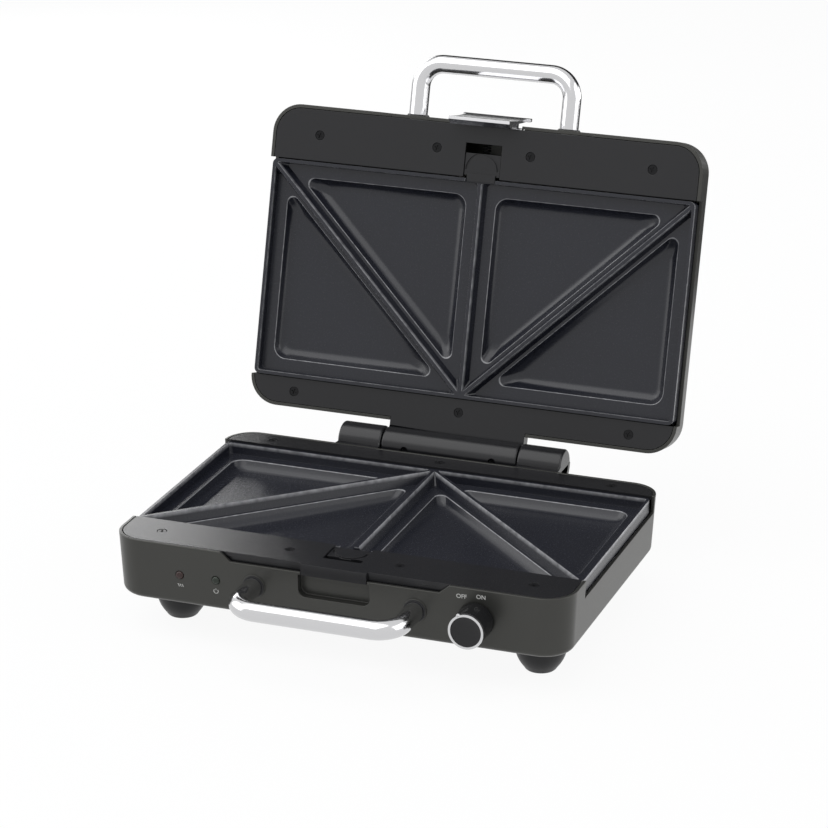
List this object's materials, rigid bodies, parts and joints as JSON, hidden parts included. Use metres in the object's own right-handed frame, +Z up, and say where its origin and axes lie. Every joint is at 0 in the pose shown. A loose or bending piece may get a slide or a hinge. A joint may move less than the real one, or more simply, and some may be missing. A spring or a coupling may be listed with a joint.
{
  "type": "sandwich toaster",
  "caption": "Sandwich toaster with ridged non-stick plates, a lid that swings up on a rear hinge and shuts with a front latch, a rotary switch and loop handles.",
  "frame": {"origin": "centre of the whole part's box in plan, on the surface it stands on", "axes": "+Z up; the front, with the knob and the lower handle, faces -Y; +X is to the right seen from the front"},
  "size_m": [0.244, 0.2862, 0.2528],
  "materials": {
    "housing_paint": "pearl grey paint on moulded plastic",
    "black_plastic": "satin",
    "nonstick_plate": "dark non-stick coating on cast aluminium",
    "reflector_sheet": "bright sheet",
    "chrome": "polished",
    "thermostat_can": "satin",
    "knob_gloss": "glossy",
    "black_screws": "black oxide",
    "foot_rubber": "matt",
    "red_lens": "clear tinted",
    "green_lens": "clear tinted",
    "terminal_ivory": "moulded",
    "switch_grey": "moulded",
    "lead_sleeve": "silicone sleeve",
    "steel": "satin"
  },
  "bodies": {
    "base": {"base_shell": "housing_paint", "base_front_bezel": "black_plastic", "base_rear_bezel": "black_plastic", "base_plate": "nonstick_plate", "base_heater": "steel", "base_heater_clips": "steel", "base_reflector": "reflector_sheet", "base_reflector_screws": "steel", "thermostat": "thermostat_can", "thermal_fuse": "terminal_ivory", "base_release_spring": "steel", "base_handle": "chrome", "base_handle_collars": "black_plastic", "base_handle_screws": "steel", "base_bezel_screws": "black_screws", "feet": "foot_rubber", "foot_screws": "steel", "rotary_switch": "switch_grey", "heat_lamp": "red_lens", "power_lamp": "green_lens", "terminal_block": "terminal_ivory", "cord_gland": "foot_rubber", "wiring": "lead_sleeve", "hinge_pins": "steel"},
    "lid": {"lid_shell": "housing_paint", "lid_front_bezel": "black_plastic", "lid_rear_bezel": "black_plastic", "lid_plate": "nonstick_plate", "lid_heater": "steel", "lid_heater_clips": "steel", "lid_reflector": "reflector_sheet", "lid_reflector_screws": "steel", "lid_cutout": "thermostat_can", "lid_release_spring": "steel", "lid_handle": "chrome", "lid_handle_collars": "black_plastic", "lid_handle_screws": "steel", "lid_bezel_screws": "black_screws", "barrel_screws": "black_screws", "latch_pin": "steel", "latch_spring": "steel"},
    "knob": {"knob": "knob_gloss", "knob_ring": "chrome", "switch_shaft": "steel"},
    "latch": {"latch": "chrome"},
    "base_release": {"base_release": "black_plastic"},
    "lid_release": {"lid_release": "black_plastic"}
  },
  "joints": [
    {"name": "lid_hinge", "type": "hinge", "parent": "base", "child": "lid", "pos_m": [0, 0.06951, 0.0513], "axis": [1, 0, 0], "range_deg": [0, 105.2]},
    {"name": "latch_pivot", "type": "hinge", "parent": "lid", "child": "latch", "pos_m": [0, 0.12351, 0.21916], "axis": [-1, 0, 0], "range_deg": [0, 12], "stiffness_Nm_per_rad": 0.25, "springref_deg": -11.46},
    {"name": "knob_turn", "type": "hinge", "parent": "base", "child": "knob", "pos_m": [0.075, -0.10914, 0.0368], "axis": [0, 1, 0], "range_deg": [0, 55]},
    {"name": "base_release_slide", "type": "slide", "parent": "base", "child": "base_release", "axis": [0, -1, 0], "range_m": [0, 0.005], "stiffness_N_per_m": 400, "springref_m": -0.002, "deforming": ["base_release_spring"]},
    {"name": "lid_release_slide", "type": "slide", "parent": "lid", "child": "lid_release", "axis": [0, 0.2622, 0.965], "range_m": [0, 0.005], "stiffness_N_per_m": 400, "springref_m": -0.002, "deforming": ["lid_release_spring"]}
  ]
}
